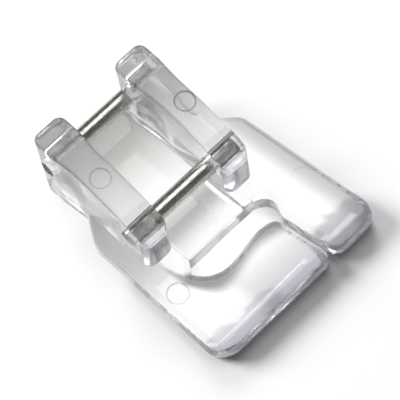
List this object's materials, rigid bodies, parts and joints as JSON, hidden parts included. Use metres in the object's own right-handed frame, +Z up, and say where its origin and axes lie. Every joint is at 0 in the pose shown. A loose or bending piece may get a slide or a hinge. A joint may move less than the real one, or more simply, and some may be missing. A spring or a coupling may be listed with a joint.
{
  "type": "sewing machine presser foot",
  "caption": "Clear moulded clip-on presser foot: upright rails hold steel cross pins over a flat sole with a wavy needle slot, a thread slit and wide toes that press cloth down.",
  "frame": {"origin": "on the sole's plane, under the middle of the foot's box", "axes": "+Z up from the sole, -Y towards the toes (the operator), +X to the operator's right"},
  "size_m": [0.0204, 0.026, 0.0098],
  "materials": {
    "clear_plastic": "clear, glossy, injection moulded",
    "pin_steel": "ground and bright"
  },
  "bodies": {
    "root": {"clear_foot_body": "clear_plastic", "rear_pin": "pin_steel", "front_pin": "pin_steel"}
  },
  "joints": []
}
